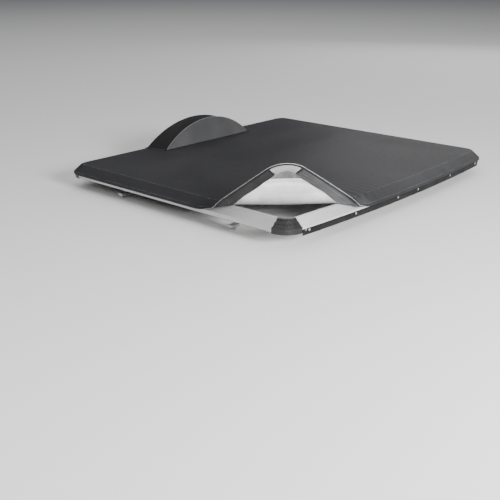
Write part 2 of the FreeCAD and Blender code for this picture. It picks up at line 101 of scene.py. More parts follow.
def node(tree, kind, links=(), **settings):
    """Node with its settings, and with its inputs linked or set by name."""
    made = tree.nodes.new("ShaderNode" + kind)
    for key, value in settings.items():
        setattr(made, key, value)
    for key, value in dict(links).items():
        if isinstance(value, bpy.types.NodeSocket):
            tree.links.new(value, made.inputs[key])
        else:
            made.inputs[key].default_value = value
    return made


def math_node(tree, operation, first, second=0.0, clamp=False):
    return node(tree, "Math", {0: first, 1: second}, operation=operation, use_clamp=clamp).outputs[0]


def remap(tree, value, low, high):
    """Mask that rises smoothly from 0 to 1 between two values."""
    made = node(tree, "MapRange", {"Value": value, "From Min": low, "From Max": high})
    made.interpolation_type = "SMOOTHSTEP"
    return made.outputs["Result"]


# %% Pebble grain of the vinyl
grain, g_in, g_out = new_group("vinyl_grain", {"Scale": 420.0}, ["Height", "Pits"])
place = node(grain, "TexCoord").outputs["Object"]
cells = node(grain, "TexVoronoi", {"Vector": place, "Scale": g_in.outputs["Scale"]}, feature="SMOOTH_F1")
cloud = node(grain, "TexNoise", {"Vector": place, "Scale": 55.0, "Detail": 4.0})
swell = math_node(grain, "MULTIPLY", cloud.outputs[0], 0.6)
height = math_node(grain, "ADD", cells.outputs["Distance"], swell)
grain.links.new(height, g_out.inputs["Height"])
grain.links.new(remap(grain, cells.outputs["Distance"], 0.25, 0.6), g_out.inputs["Pits"])
print("group", grain.name)

# %% Threads of woven cloth
weave, g_in, g_out = new_group("cloth_threads", {"Scale": 900.0}, ["Height", "Threads"])
place = node(weave, "TexCoord").outputs["Object"]
warp, weft, upright = [
    node(weave, "TexWave", {"Vector": place, "Scale": g_in.outputs["Scale"], "Distortion": 0.6},
         bands_direction=direction).outputs["Fac"] for direction in "XYZ"]
crossed = math_node(weave, "MULTIPLY", math_node(weave, "MAXIMUM", warp, weft), upright)
height = math_node(weave, "ADD", crossed, math_node(weave, "MULTIPLY", warp, 0.5))
weave.links.new(height, g_out.inputs["Height"])
weave.links.new(crossed, g_out.inputs["Threads"])
print("group", weave.name)

# %% Draw lines of an extrusion
lines, g_in, g_out = new_group("draw_lines", {"Along X": 900.0, "Along Y": 900.0}, ["Height", "Lines"])
split = node(lines, "SeparateXYZ", {0: node(lines, "TexCoord").outputs["Object"]})
across = node(lines, "CombineXYZ", {
    "X": math_node(lines, "MULTIPLY", split.outputs["X"], g_in.outputs["Along X"]),
    "Y": math_node(lines, "MULTIPLY", split.outputs["Y"], g_in.outputs["Along Y"]),
    "Z": math_node(lines, "MULTIPLY", split.outputs["Z"], 900.0)})
streaks = node(lines, "TexNoise", {"Vector": across.outputs[0], "Scale": 1.0, "Detail": 3.0})
lines.links.new(streaks.outputs[0], g_out.inputs["Height"])
lines.links.new(remap(lines, streaks.outputs[0], 0.35, 0.65), g_out.inputs["Lines"])
print("group", lines.name)

# %% Dust and rubbing
wear, g_in, g_out = new_group("dust_and_rubbing", {"Dust size": 3.0, "Scuff size": 60.0},
                              ["Dust", "Scuffs"])
place = node(wear, "TexCoord").outputs["Object"]
drift = node(wear, "TexNoise", {"Vector": place, "Scale": g_in.outputs["Dust size"], "Detail": 5.0,
                                "Roughness": 0.62})
fleck = node(wear, "TexNoise", {"Vector": place, "Scale": g_in.outputs["Scuff size"], "Detail": 6.0,
                                "Distortion": 1.4})
wear.links.new(remap(wear, drift.outputs[0], 0.38, 0.68), g_out.inputs["Dust"])
wear.links.new(remap(wear, fleck.outputs[0], 0.58, 0.72), g_out.inputs["Scuffs"])
print("group", wear.name)


# %% [markdown]
# A material could be one colour with one gloss, but real vinyl and aluminium
# change a little from place to place. Each one here mixes two colours by a dust
# mask, lets scuffs change its roughness, and takes its relief from a grain,
# weave or line group through a Bump node.

# %% One recipe for every finish
pit_share, pit_shade = 0.22, 0.55


def finish(name, clean, dusty, rough, rougher, relief, relief_values, depth, metal=0.0,
           dust=0.35, dust_size=3.0, scuff_size=60.0, sheen=0.0, coat=0.0, specular=0.5):
    """Principled material with dust, scuffs and the relief of one node group."""
    made = bpy.data.materials.new(name)
    made.use_nodes = True
    tree = made.node_tree
    shader = tree.nodes["Principled BSDF"]
    worn = node(tree, "Group", {"Dust size": dust_size, "Scuff size": scuff_size}, node_tree=wear)
    surface = node(tree, "Group", relief_values, node_tree=relief)
    amount = math_node(tree, "MULTIPLY", worn.outputs["Dust"], dust)
    colour = node(tree, "Mix", {"Factor": amount, 6: (*clean, 1.0), 7: (*dusty, 1.0)}, data_type="RGBA")
    pitted = math_node(tree, "MULTIPLY", surface.outputs[1], pit_share)
    fine = node(tree, "Mix", {"Factor": pitted, 6: colour.outputs[2],
                              7: (*[pit_shade * channel for channel in clean], 1.0)}, data_type="RGBA")
    tree.links.new(fine.outputs[2], shader.inputs["Base Color"])
    gloss = node(tree, "MapRange", {"Value": worn.outputs["Scuffs"], "To Min": rough, "To Max": rougher})
    tree.links.new(gloss.outputs["Result"], shader.inputs["Roughness"])
    bump = node(tree, "Bump", {"Height": surface.outputs["Height"], "Strength": 0.6, "Distance": depth})
    tree.links.new(bump.outputs["Normal"], shader.inputs["Normal"])
    for label, value in (("Metallic", metal), ("Sheen Weight", sheen), ("Coat Weight", coat),
                         ("Specular IOR Level", specular)):
        shader.inputs[label].default_value = value
    made.diffuse_color = (*clean, 1.0)
    return made


def grey(value):
    return (value, value, value)


# %% Finishes of the cloth
cover_vinyl = finish("cover_vinyl", (0.019, 0.019, 0.0205), (0.040, 0.040, 0.042), 0.46, 0.60, grain,
                     {"Scale": 420.0}, 0.00035, dust=0.45, dust_size=1.6, specular=0.20)
hump_vinyl = finish("hump_vinyl", (0.006, 0.006, 0.0065), (0.018, 0.018, 0.019), 0.50, 0.62, grain,
                    {"Scale": 420.0}, 0.0004, dust=0.4, specular=0.18)
hump_end_cloth = finish("hump_end_cloth", (0.058, 0.0585, 0.060), (0.09, 0.09, 0.093), 0.48, 0.62, grain,
                        {"Scale": 380.0}, 0.0004, dust=0.5, dust_size=6.0, specular=0.3)
cloth_backing = finish("cloth_backing", (0.94, 0.94, 0.93), (0.66, 0.66, 0.65), 0.55, 0.75, weave,
                       {"Scale": 420.0}, 0.0002, dust=0.6, dust_size=11.0, sheen=0.15)
corner_patch_cloth = finish("corner_patch_cloth", (0.14, 0.14, 0.142), grey(0.5), 0.26, 0.4, grain,
                            {"Scale": 420.0}, 0.0003, dust=0.5, dust_size=14.0)
piping_vinyl = finish("piping_vinyl", (0.10, 0.10, 0.105), grey(0.2), 0.35, 0.5, grain,
                      {"Scale": 500.0}, 0.0002)
# Pale cut edge of the hem: partly the cloth's pale core, partly a painted highlight along the turned-back corner's
# hem.
cut_edge_and_highlight = finish("cut_cloth_edge", grey(0.55), (0.7, 0.7, 0.69), 0.5, 0.65, weave,
                  {"Scale": 900.0}, 0.0001)
thread = finish("sewing_thread", (0.34, 0.34, 0.35), (0.5, 0.5, 0.49), 0.6, 0.75, weave,
                {"Scale": 1500.0}, 0.0002)

# %% [markdown]
# The pale lining is painted grey along the corner's fold, as painted shade where
# the bent cloth turns down. The shade follows a straight line on the object, so a
# mask made from each point's distance past that line is enough, with a little
# noise in it.

# %% Painted shade along the corner's fold
fold_point = np.array(joints["corner_fold"]["pos_m"])
outward = np.array([-1.0, -1.0, 0.0]) / math.sqrt(2)
shade_from, shade_to, shade_share, shade_edge = 0.008, 0.034, 0.85, 0.012
tree = cloth_backing.node_tree
shader = tree.nodes["Principled BSDF"]
lining_place = node(tree, "TexCoord").outputs["Object"]
past_fold = node(tree, "VectorMath", {0: lining_place, 1: tuple(outward)},
                 operation="DOT_PRODUCT").outputs["Value"]
past_fold = math_node(tree, "SUBTRACT", past_fold, float(fold_point @ outward))
uneven = node(tree, "TexNoise", {"Vector": lining_place, "Scale": 26.0, "Detail": 3.0}).outputs[0]
uneven = math_node(tree, "MULTIPLY", math_node(tree, "SUBTRACT", uneven, 0.5), shade_edge)
past_fold = math_node(tree, "ADD", past_fold, uneven)
# Painted shade: the lining's colour is mixed towards dark grey near the fold.
painted_shade = math_node(tree, "SUBTRACT", 1.0, remap(tree, past_fold, shade_from, shade_to))
painted_shade = math_node(tree, "MULTIPLY", painted_shade, shade_share)
unshaded = shader.inputs["Base Color"].links[0].from_socket
shaded = node(tree, "Mix", {"Factor": painted_shade, 6: unshaded, 7: (0.17, 0.17, 0.17, 1.0)}, data_type="RGBA")
tree.links.new(shaded.outputs[2], shader.inputs["Base Color"])
print("lining soiled along the fold")

# %% Finishes of the strips
strip_grey = finish("strip_grey", (0.055, 0.055, 0.058), grey(0.11), 0.34, 0.5, lines,
                    {"Along X": 300.0, "Along Y": 300.0}, 0.0001, dust=0.5, dust_size=12.0)
strip_black = finish("strip_black", (0.008, 0.008, 0.0085), grey(0.04), 0.6, 0.8, weave,
                     {"Scale": 700.0}, 0.0005, dust=0.6, dust_size=16.0)
corner_strip_grey = finish("corner_strip_grey", (0.36, 0.36, 0.365), grey(0.5), 0.38, 0.55, grain,
                           {"Scale": 600.0}, 0.0001, dust=0.5, dust_size=14.0)

# %% Finishes of the hard parts
rail_finish = {"metal": 0.45, "dust": 0.45, "dust_size": 5.0}
# Side rails and cross rails are lit and shaded copies of one aluminium: the side rails' colour is painted darker,
# as painted shade.
aluminium_y_shaded = finish("aluminium_along_y", (0.56, 0.563, 0.57), grey(0.40), 0.36, 0.50, lines,
                     {"Along X": 420.0, "Along Y": 4.0}, 0.0003, **rail_finish)
aluminium_x_lit = finish("aluminium_along_x", (0.74, 0.743, 0.75), grey(0.56), 0.36, 0.50, lines,
                     {"Along X": 4.0, "Along Y": 420.0}, 0.0003, **rail_finish)
joiner_plastic = finish("joiner_plastic", (0.012, 0.012, 0.0125), grey(0.04), 0.24, 0.38, grain,
                        {"Scale": 700.0}, 0.00008, dust=0.5, dust_size=14.0)
fitting_plastic = finish("fitting_plastic", grey(0.03), grey(0.09), 0.42, 0.55, grain,
                         {"Scale": 900.0}, 0.0001)
closed_foam = finish("closed_cell_foam", (0.035, 0.035, 0.037), grey(0.08), 0.85, 0.95, grain,
                     {"Scale": 300.0}, 0.0008)
seal_rubber = finish("seal_rubber", (0.006, 0.006, 0.0063), grey(0.02), 0.55, 0.7, lines,
                     {"Along X": 6.0, "Along Y": 600.0}, 0.0002, dust=0.7, dust_size=8.0, specular=0.2)
sleeve_cloth = finish("sleeve_cloth", (0.03, 0.03, 0.032), grey(0.07), 0.8, 0.9, weave,
                      {"Scale": 600.0}, 0.0004, sheen=0.2)
plated_steel = finish("plated_steel", (0.60, 0.59, 0.57), (0.4, 0.39, 0.37), 0.22, 0.4, grain,
                      {"Scale": 900.0}, 0.00003, metal=1.0, scuff_size=200.0)
coated_steel = finish("coated_steel", grey(0.02), grey(0.07), 0.35, 0.5, grain,
                      {"Scale": 800.0}, 0.00005, coat=0.3)
cast_aluminium = finish("cast_aluminium", (0.52, 0.52, 0.53), grey(0.33), 0.42, 0.6, grain,
                        {"Scale": 350.0}, 0.0003, metal=0.8)

# %% [markdown]
# The record names a material slot for each hard part. One table turns a slot
# into a finish, so a part that is added later gets its finish by itself. The
# rails need two: the draw lines run along each rail, so the side rails and the
# cross rails have theirs at right angles. The two are also lit and shaded copies
# of one aluminium: the side rails are painted darker than the front and rear
# rails, as painted shade.

# %% Give each hard part its finish
slot_finish = {
    "joiner_plastic": joiner_plastic, "foam": closed_foam, "seal_rubber": seal_rubber,
    "cover_vinyl": cover_vinyl, "strip_plastic": strip_grey, "sleeve_fabric": sleeve_cloth,
    "bow_aluminium": aluminium_x_lit, "fitting_plastic": fitting_plastic, "hoop_steel": coated_steel,
    "plated_steel": plated_steel, "clamp_aluminium": cast_aluminium, "steel_fixing": plated_steel,
    "rail_aluminium": aluminium_y_shaded}
for entry in frame["record"]["subparts"]:
    part = frame["nodes"][entry["node"]]
    chosen = slot_finish[entry["material_slot"]]
    # The front and rear rails take the lighter, painted-light copy.
    if entry["node"] in ("rail_front", "rail_rear"):
        chosen = aluminium_x_lit
    for slot in part.material_slots:
        slot.link = "OBJECT"
        slot.material = chosen

# %% [markdown]
# The cover's cloth is one stretched sheet with a bent-down edge all round. A
# simulated sheet would drift off the rails, so its shape is worked out: a flat
# top laid out in rows and columns, and rings that go from its rim over the rail's
# slanted face and down the skirt. The top's four corner squares are pulled round
# into quarter discs, so that every ring leaves the rim at a right angle.

# %% Sizes taken from the frame
side_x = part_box("rail_right")[1].x
front_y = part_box("rail_front")[1].y
rear_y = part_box("rail_rear")[0].y
top_z = joints["corner_fold"]["pos_m"][2]
corner_radius = 0.078
rim_inset = 0.040
square_start = side_x - corner_radius
square_size = corner_radius - rim_inset
rear_bulge = -rear_y - front_y
corner_y = front_y - corner_radius
tilt = 2 * math.atan(rear_bulge / side_x)
for _ in range(30):
    bow_radius = (side_x - corner_radius) / math.sin(tilt) + corner_radius
    reach = -rear_y - corner_y - corner_radius
    tilt = math.acos(1 - reach / (bow_radius - corner_radius))
bow_y = rear_y + bow_radius
print("rear edge: radius %.3f m, turning %.2f degrees each side" % (bow_radius, math.degrees(tilt)))


# %% Rows and columns of the flat top
def spaced(*stops):
    """Values from (end, number of steps) pairs, each run evenly divided."""
    values = [stops[0]]
    for end, steps in stops[1:]:
        values += list(np.linspace(values[-1], end, steps + 1)[1:])
    return np.array(values)


hump_x = 0.015
hump_rear_y, hump_front_y = 0.466, 0.558
mouth_half, mouth_rear, mouth_front = 0.256, hump_rear_y + 0.003, hump_front_y - 0.003
mouth_left, mouth_right = hump_x - mouth_half, hump_x + mouth_half
middle_cut, rear_cut = 0.030, -0.170
side_steps, end_steps = 6, 7
rim_x = side_x - rim_inset
columns = spaced(-rim_x, (-square_start, side_steps), (mouth_left, 64), (mouth_right, 40), (square_start, 28),
                 (rim_x, side_steps))
rows = spaced(-corner_y - square_size, (-corner_y, end_steps), (rear_cut, 58), (middle_cut, 20),
              (mouth_rear, 34), (corner_y, 5), (mouth_front, 4), (corner_y + square_size, 1))
across, along = np.meshgrid(columns, rows)
print("top:", len(columns), "columns and", len(rows), "rows")

# %% Pull the corner squares round and bow the rear rows
side, end = np.sign(across), np.sign(along)
past_x = (np.abs(across) - square_start) / square_size
past_y = (np.abs(along) - corner_y) / square_size
in_corner = (past_x > 0) & (past_y > 0)
far = np.maximum(past_x, past_y)
with np.errstate(divide="ignore", invalid="ignore"):
    turned = np.where(past_x >= past_y, 0.5 * past_y / past_x, 1 - 0.5 * past_x / past_y)
turned = np.where(in_corner, turned, 0)
sweep = np.where(end < 0, math.pi / 2 - tilt, math.pi / 2) * turned
lean = across / square_start * tilt
rear_strip = (past_y > 0) & (end < 0) & ~in_corner
inner_radius = bow_radius - rim_inset
share = np.clip(past_y, 0, 1)
flat_x = np.where(in_corner, side * (square_start + far * square_size * np.cos(sweep)), across)
flat_y = np.where(in_corner, end * (corner_y + far * square_size * np.sin(sweep)), along)
flat_x = np.where(rear_strip, across + (inner_radius * np.sin(lean) - across) * share, flat_x)
flat_y = np.where(rear_strip, -corner_y + (bow_y - inner_radius * np.cos(lean) + corner_y) * share, flat_y)
mouth_share = np.clip((along - mouth_rear) / (mouth_front - mouth_rear), 0, 1)
from_mouth = np.abs(across - hump_x)
near_mouth = np.clip(1 - (from_mouth - mouth_half) / 0.15, 0, 1) * from_mouth / mouth_half
mouth_widening = 0.030
flat_x = flat_x + mouth_widening * mouth_share * np.clip(near_mouth, 0, 1) * np.sign(across - hump_x)
normal_x = np.where(in_corner, side * np.cos(sweep), np.where(rear_strip, np.sin(lean), side))
normal_y = np.where(in_corner, end * np.sin(sweep), np.where(rear_strip, -np.cos(lean), 0.0))
normal_x[-1, (past_x[-1] <= 0)], normal_y[-1, (past_x[-1] <= 0)] = 0.0, 1.0

# %% Walk round the rim
last_row, last_column = len(rows) - 1, len(columns) - 1
rim = ([(0, i) for i in range(last_column)] + [(j, last_column) for j in range(last_row)]
       + [(last_row, i) for i in range(last_column, 0, -1)] + [(j, 0) for j in range(last_row, 0, -1)])
rim_rows = np.array([j for j, _ in rim])
rim_columns = np.array([i for _, i in rim])
rim_flat = np.stack([flat_x[rim_rows, rim_columns], flat_y[rim_rows, rim_columns]], axis=1)
rim_normal = np.stack([normal_x[rim_rows, rim_columns], normal_y[rim_rows, rim_columns]], axis=1)
rim_steps = np.linalg.norm(np.roll(rim_flat, -1, axis=0) - rim_flat, axis=1)
rim_travel = np.concatenate([[0], np.cumsum(rim_steps)[:-1]])
print("rim: %d points, %.3f m round" % (len(rim), rim_steps.sum()))

# %% [markdown]
# Seen from its end, the edge band is a flat lap, a soft crest, a slant, a soft
# turn and a short skirt. Its slant follows the rail, except on the turned-back
# corner. Nothing holds the band there, and it springs nearly flat. The change
# comes on little by little over the last hand's width before the fold.

# %% Profile of the edge band
sideways = np.array([1.0, -1.0, 0.0]) / math.sqrt(2)
lift = math.radians(-joints["corner_fold"]["range_deg"][0])
rail_slant = math.radians(41.2)
loose_slant, loose_skirt = math.radians(7.0), math.radians(16.0)
lap_run, crest_run, slant_run, turn_run, skirt_run = 0.0070, 0.0043, 0.0425, 0.0030, 0.0060
band_run = lap_run + crest_run + slant_run + turn_run + skirt_run
flare_start, flare_end = 0.120, 0.025


def smooth(value):
    value = np.clip(value, 0, 1)
    return value * value * (3 - 2 * value)


def edge_profile(run, loose):
    """Outward travel, drop and slant of the cloth at a run from the rim."""
    slant = rail_slant + (loose_slant - rail_slant) * loose
    skirt = math.pi / 2 + (loose_skirt - math.pi / 2) * loose
    travel, drop, angle, start = 0.0 * run, 0.0 * run, 0.0 * run, 0.0
    level = 0 * slant
    for length, first, final in ((lap_run, level, level), (crest_run, level, slant),
                                 (slant_run, slant, slant), (turn_run, slant, skirt),
                                 (skirt_run, skirt, skirt)):
        part = np.clip(run - start, 0, length)
        bend = (final - first) / length
        bent = first + bend * part
        straight = np.abs(bend) < 1e-6
        safe = np.where(straight, 1.0, bend)
        travel = travel + np.where(straight, part * np.cos(first), (np.sin(bent) - np.sin(first)) / safe)
        drop = drop + np.where(straight, part * np.sin(first), (np.cos(first) - np.cos(bent)) / safe)
        angle = np.where(run > start, bent, angle)
        start += length
    return travel, drop, angle


def fold_distance(points):
    """How far each point lies past the corner's fold line."""
    return (points[..., :2] - fold_point[:2]) @ outward[:2]


rim_loose = smooth((fold_distance(rim_flat) + flare_start) / (flare_start - flare_end))
print("edge band: %.1f mm from lap to hem" % (1000 * band_run))


def on_band(which, run, depth):
    """Closed places on the edge band, at a run from the rim and a depth under its face."""
    travel, drop, angle = edge_profile(run, rim_loose[which])
    out = travel - depth * np.sin(angle)
    place = rim_flat[which] + rim_normal[which] * out[..., None]
    return np.concatenate([place, (top_z - drop - depth * np.cos(angle))[..., None]], axis=-1)


# %% [markdown]
# Between the rails and the bows the cloth sags a few millimetres. It rises a
# little over each bow, and puckers where the turned-back corner pulls on it. Soft
# gathers stand off the rear rail beside the corner, and two creases cross the
# corner itself. Each of these is a wave or a ridge, faded out by a smooth mask.

# %% Sag and wrinkles of the flat top
bow_lines = [0.5 * (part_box(name)[0].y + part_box(name)[1].y) for name in ("rear_bow", "front_bow")]
spans = [(rear_y + rim_inset, bow_lines[0], 0.0045), (bow_lines[0], bow_lines[1], 0.0028),
         (bow_lines[1], front_y, 0.0012)]


pucker_rise, pucker_pitch = 0.0013, 0.022
billow_rise = 0.0012
gather_rise, gather_pitch, gather_x = 0.0011, 0.034, -0.19
crease_rise, dent_rise, swell_rise = 0.0036, 0.0040, 0.0017


def hang(points):
    """Height of the stretched cloth over or under its flat place."""
    x, y = points[..., 0], points[..., 1]
    rise = np.zeros_like(x)
    edge = smooth((rim_x - np.abs(x)) / 0.16)
    for start, end, amount in spans:
        inside = (y > start) & (y < end)
        arch = np.sin(np.pi * np.clip((y - start) / (end - start), 0, 1)) ** 1.5
        rise -= np.where(inside, amount * edge * arch, 0)
    past = fold_distance(points)
    beside = (points[..., :2] - fold_point[:2]) @ sideways[:2] + 0.0707
    behind = np.exp(-((past + 0.075) / 0.05) ** 2)
    pucker = np.sin((past + beside * 0.10) * 2 * np.pi / pucker_pitch)
    rise += pucker_rise * pucker * behind * smooth((np.abs(beside) - 0.06) / 0.08) * (x < 0.1)
    billow = np.sin(x * 9.1 + y * 5.3 + 0.6)
    rise += billow_rise * billow * edge * smooth((0.40 - y) / 0.2) * smooth((y - rear_y) / 0.2)
    gathers = np.exp(-((x - gather_x) / 0.10) ** 2) * smooth((-0.40 - y) / 0.09)
    rise += gather_rise * gathers * np.sin(2 * np.pi * (x / gather_pitch + 0.35 * np.sin(y * 17)))
    crease = np.exp(-((past - 0.108 + 0.10 * beside ** 2 / 0.1) / 0.008) ** 2)
    dent = np.exp(-((past - 0.040 - 0.12 * beside) / 0.018) ** 2)
    swell = np.sin(beside * 31 + 1.2) * smooth(past / 0.03) * smooth((0.150 - past) / 0.04)
    rise += crease_rise * crease + dent_rise * dent + swell_rise * swell
    return rise


# %% Corner turned back along its fold
bend_from, bend_to = -0.006, 0.029


def turned_back(points):
    """Closed places to places with the corner lifted, bent the way the cloth bends."""
    past, height = fold_distance(points), points[..., 2] - fold_point[2]
    low, high = np.zeros_like(past), np.ones_like(past)
    for _ in range(40):
        middle = 0.5 * (low + high)
        rest = past * np.cos(lift * middle) - height * np.sin(lift * middle)
        above = middle > smooth((rest - bend_from) / (bend_to - bend_from))
        high, low = np.where(above, middle, high), np.where(above, low, middle)
    angle = lift * 0.5 * (low + high)
    moved = past * np.cos(angle) - height * np.sin(angle)
    raised = past * np.sin(angle) + height * np.cos(angle)
    lifted = points + (moved - past)[..., None] * outward
    lifted[..., 2] = fold_point[2] + raised
    return lifted


# %% [markdown]
# A single layer of faces looks right from one side only, and a sheet here has to
# be a closed thin body. One helper takes an upper and a lower place for each
# point, and closes every open edge with a rim. A Solidify modifier would do much
# the same, but the corner's bend needs both layers placed exactly. The cut edge
# of the hem gets a pale finish of its own: partly the cloth's pale core, which
# shows there, and partly a painted highlight along the turned-back corner's hem.

# %% Pieces from points and faces
def new_piece(name, points, faces, finishes):
    """Smooth mesh object with its finishes."""
    mesh = bpy.data.meshes.new(name)
    mesh.from_pydata(points, [], faces)
    for entry in finishes:
        mesh.materials.append(entry)
    mesh.shade_smooth()
    piece = bpy.data.objects.new(name, mesh)
    bpy.context.scene.collection.objects.link(piece)
    return piece


def grid_faces(lines, length, closed=False, flip=False):
    """Faces between the neighbouring points of parallel lines."""
    faces = []
    for a in range(lines - 1):
        for k in range(length if closed else length - 1):
            ahead = (k + 1) % length
            corners = (a * length + k, (a + 1) * length + k, (a + 1) * length + ahead, a * length + ahead)
            faces.append((corners[0],) + corners[:0:-1] if flip else corners)
    return faces


# %% Thin closed cloth
def thin_cloth(name, upper, lower, faces, finishes, back=1, hem_from=None, back_slots=None, sharp=32):
    """Mesh piece with an upper layer, a lower layer and a rim round every open edge."""
    used = np.unique(np.array(faces))
    place = {old: new for new, old in enumerate(used)}
    count = len(used)
    top = [tuple(place[v] for v in face) for face in faces]
    ahead = {(a, b) for face in top for a, b in zip(face, face[1:] + face[:1])}
    edges = sorted((a, b) for a, b in ahead if (b, a) not in ahead)
    under = [tuple(v + count for v in reversed(face)) for face in top]
    rims = [(b, a, a + count, b + count) for a, b in edges]
    piece = new_piece(name, np.concatenate([upper[used], lower[used]]).tolist(), top + under + rims, finishes)
    hem = [2 if hem_from and min(used[a], used[b]) >= hem_from else 0 for a, b in edges]
    slots = [0] * len(top) + (back_slots or [back] * len(under)) + hem
    piece.data.polygons.foreach_set("material_index", slots)
    piece.data.set_sharp_from_angle(angle=math.radians(sharp))
    return piece


# %% All places of the cover, closed
cloth_thickness = 0.0013
crest_steps, turn_steps = 6, 4
ring_runs = spaced(0.0, (lap_run, 1), (lap_run + crest_run, crest_steps),
                   (lap_run + crest_run + slant_run, 7), (band_run - skirt_run, turn_steps), (band_run, 2))
top_flat = np.stack([flat_x.ravel(), flat_y.ravel()], axis=1)
top_height = top_z + hang(top_flat)
outer_top = np.column_stack([top_flat, top_height])
inner_top = np.column_stack([top_flat, top_height - cloth_thickness])
everywhere = np.arange(len(rim))
looseness = 0.0005
slack = looseness * np.sin(rim_travel * 47 + 1.7 * np.sin(rim_travel * 13))
slack = slack * (0.4 + 0.6 * np.sin(rim_travel * 7.3))
outer_rings, inner_rings = [], []
for run in ring_runs[1:]:
    loosened = slack * math.sin(math.pi * run / band_run)
    rise = hang(rim_flat) * max(0, 1 - run / 0.05)
    for layer, depth in ((outer_rings, 0.0), (inner_rings, cloth_thickness)):
        places = on_band(everywhere, np.full(len(rim), run), depth - loosened)
        places[:, 2] += rise
        layer.append(places)
outer_closed = np.concatenate([outer_top] + outer_rings)
inner_closed = np.concatenate([inner_top] + inner_rings)
print("cover:", len(outer_closed), "points a layer")


# %% Faces of the cover, with the row that each belongs to
def top_point(j, i):
    return j * len(columns) + i


def ring_point(ring, k):
    k = k % len(rim)
    return top_point(*rim[k]) if ring == 0 else len(top_flat) + (ring - 1) * len(rim) + k


cover_faces, face_rows, face_ring = [], [], []
for j in range(last_row):
    for i in range(last_column):
        over_mouth = mouth_rear - 1e-6 < rows[j] and rows[j + 1] < mouth_front + 1e-6
        if over_mouth and mouth_left - 1e-6 < columns[i] and columns[i + 1] < mouth_right + 1e-6:
            continue
        cover_faces.append((top_point(j, i), top_point(j, i + 1), top_point(j + 1, i + 1),
                            top_point(j + 1, i)))
        face_rows.append(j)
        face_ring.append(0)
for ring in range(len(ring_runs) - 1):
    for k in range(len(rim)):
        cover_faces.append((ring_point(ring, k), ring_point(ring + 1, k), ring_point(ring + 1, k + 1),
                            ring_point(ring, k + 1)))
        face_rows.append(min(rim_rows[k], rim_rows[(k + 1) % len(rim)]))
        face_ring.append(ring + 1)
face_rows, face_ring = np.array(face_rows), np.array(face_ring)
print("cover:", len(cover_faces), "faces a layer")

# %% [markdown]
# The cover folds forward over its two bows, and its corner folds back. Each of
# those folds is a joint, and a piece can bend across one joint only. The cloth is
# therefore parted along two rows where it follows one body and nothing bends, so
# the parting doesn't show.

# %% Sew the three lengths of cloth
row_of = {value: int(np.argmin(np.abs(rows - value))) for value in (middle_cut, rear_cut)}
lengths = {
    "cover_front_cloth": (row_of[middle_cut], last_row, ("root", "cover_middle"), "middle_fold",
                          "front_panel"),
    "cover_middle_cloth": (row_of[rear_cut], row_of[middle_cut], ("cover_middle", "cover_rear"),
                           "rear_fold", "middle_panel"),
    "cover_rear_cloth": (0, row_of[rear_cut], ("cover_rear", "cover_corner"), "corner_fold",
                         "rear_panel")}


def bend_with_fold(piece, joint):
    """Bake a piece's placement into its mesh, whichever fold it lies by."""
    if joint == "corner_fold":
        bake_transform(piece)
    else:
        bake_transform(piece)


backing_rings = 1 + crest_steps
vinyl_and_backing = (cover_vinyl, cloth_backing, cut_edge_and_highlight)
last_ring = len(outer_closed) - len(rim)
outer_rest, inner_rest = turned_back(outer_closed), turned_back(inner_closed)
for name, (first, final, bodies, joint, node_name) in lengths.items():
    chosen = np.flatnonzero((face_rows >= first) & (face_rows < final))
    lining = [1 if face_ring[f] <= backing_rings else 0 for f in chosen]
    piece = thin_cloth(name, outer_rest, inner_rest, [cover_faces[f] for f in chosen], vinyl_and_backing,
                       hem_from=last_ring, back_slots=lining)
    bend_with_fold(piece, joint)
    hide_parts(node_name)
    long = rows[final] - rows[first] + (band_run if first == 0 or final == last_row else 0)
    long += rear_bulge if first == 0 else 0
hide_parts("corner_flap")

# %% [markdown]
# A ribbed strip is sewn under the edge band, and its ribs grip the rail. Under
# the turned-back corner three strips show: a dark woven one on the left, a short
# grey one round the corner, and a grey ribbed one on the right. Each is a long
# thin closed body with its ribs in its mesh, and bends with the cloth.

# %% Strips under the rear edge
strip_top, strip_base, strip_rib = 0.00145, 0.0024, 0.0036
strip_start, strip_end = lap_run + crest_run + 0.0025, band_run - skirt_run - turn_run - 0.0020
strip_cut = -0.160
ribs_across = 25


def sweep_strip(name, which, ribs, material, start=strip_start):
    """Closed strip under the edge band, along some points of the rim."""
    which = np.array(which)
    upper, lower = [], []
    for step in range(ribs_across):
        share = step / (ribs_across - 1)
        run = np.full(len(which), start + share * (strip_end - start))
        crown = math.sin(math.pi * ribs * share) ** 2
        upper.append(on_band(which, run, strip_top))
        lower.append(on_band(which, run, strip_base + (strip_rib - strip_base) * crown))
    piece = thin_cloth(name, turned_back(np.concatenate(upper)), turned_back(np.concatenate(lower)),
                       grid_faces(ribs_across, len(which)), [material], back=0, sharp=50)
    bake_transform(piece)
    return piece


left_edge = [k for k in range(len(rim)) if rim_columns[k] == 0]
left_run = [k for k in left_edge if end_steps <= rim_rows[k] and rim_flat[k, 1] < strip_cut]
corner_run = [k for k in left_edge if rim_rows[k] < end_steps] + list(range(0, side_steps))
rear_run = list(range(side_steps, last_column - side_steps + 1))
left_strip = sweep_strip("rear_left_loop_strip", left_run, 5, strip_black)
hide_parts("rear_left_strip", "flap_left_strip")
corner_strip = sweep_strip("corner_grip_strip", corner_run, 1, corner_strip_grey,
                           start=strip_start + 0.0065)
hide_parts("flap_corner_strip")
rear_strip_piece = sweep_strip("rear_ribbed_strip", rear_run, 3, strip_grey)
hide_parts("rear_edge_strip", "flap_rear_strip")
print("strips:", [len(run) for run in (left_run, corner_run, rear_run)], "stations")

# %% [markdown]
# Inside the corner, where the strips end, a dark patch doubles the cloth. Its
# inner edge is straight and its outer edge follows the crest. It is a small
# sheet of its own, just under the backing.

